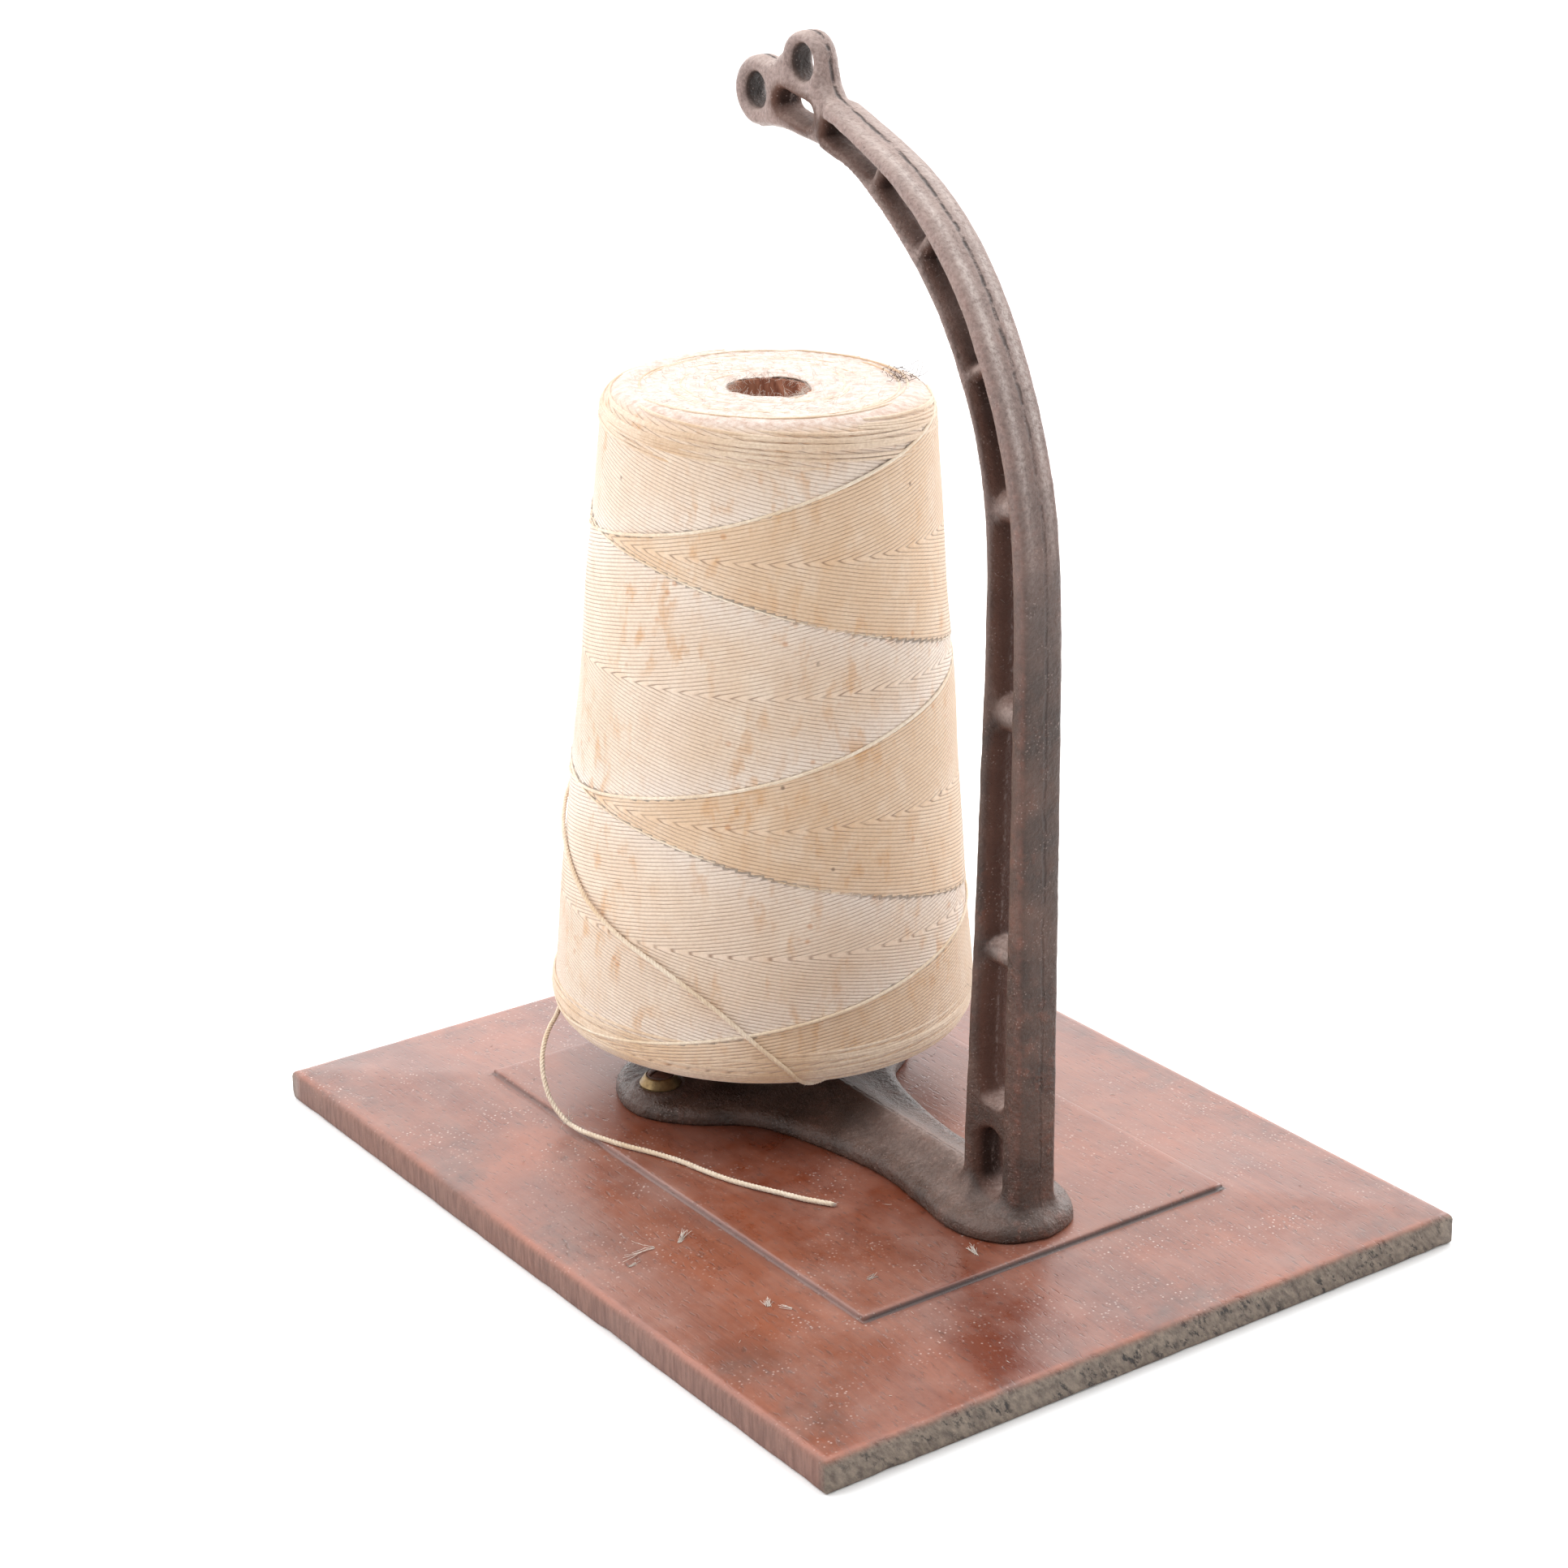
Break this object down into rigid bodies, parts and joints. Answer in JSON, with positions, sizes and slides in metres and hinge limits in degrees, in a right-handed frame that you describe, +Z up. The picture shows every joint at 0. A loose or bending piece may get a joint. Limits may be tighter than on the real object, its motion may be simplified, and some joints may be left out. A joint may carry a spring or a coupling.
{
  "type": "twine stand",
  "caption": "Cast-iron twine stand: a slotted arm with guide eyes arches over a cone of twine that turns on a peg above a raised-panel wooden board.",
  "frame": {"origin": "middle of the board's underside", "axes": "+Z up, +Y from the column towards the cone, along the board's grain; X across the arm's plane"},
  "size_m": [0.26, 0.336, 0.3956],
  "materials": {
    "board_wood": "worn red-brown stain, grain along the length",
    "old_iron": "sand-cast, brown patina with dust and light rust",
    "rusty_screw": "dull and rusty",
    "dull_brass": "tarnished",
    "peg_steel": "turned, dull",
    "seat_iron": "turned, dark",
    "core_paper": "brown paper, matt",
    "cotton_twine": "unbleached cotton twine, slightly foxed"
  },
  "bodies": {
    "stand": {"base_board": "board_wood", "stand_casting": "old_iron", "left_rear_screw": "rusty_screw", "right_rear_screw": "rusty_screw", "left_cup_washer": "dull_brass", "right_cup_washer": "dull_brass", "front_screw": "rusty_screw", "peg": "peg_steel", "thrust_washer": "peg_steel", "loose_twine_end": "cotton_twine"},
    "seat": {"cone_seat": "seat_iron"},
    "twine_cone": {"paper_core": "core_paper", "twine_winding": "cotton_twine", "outer_twine_strand": "cotton_twine"}
  },
  "joints": [
    {"name": "seat_spin", "type": "hinge", "parent": "stand", "child": "seat", "pos_m": [0.004, 0.0552, 0.0365], "axis": [0, 0, 1], "continuous": true},
    {"name": "cone_lift", "type": "slide", "parent": "seat", "child": "twine_cone", "axis": [0, 0, 1], "range_m": [0, 0.075]}
  ]
}
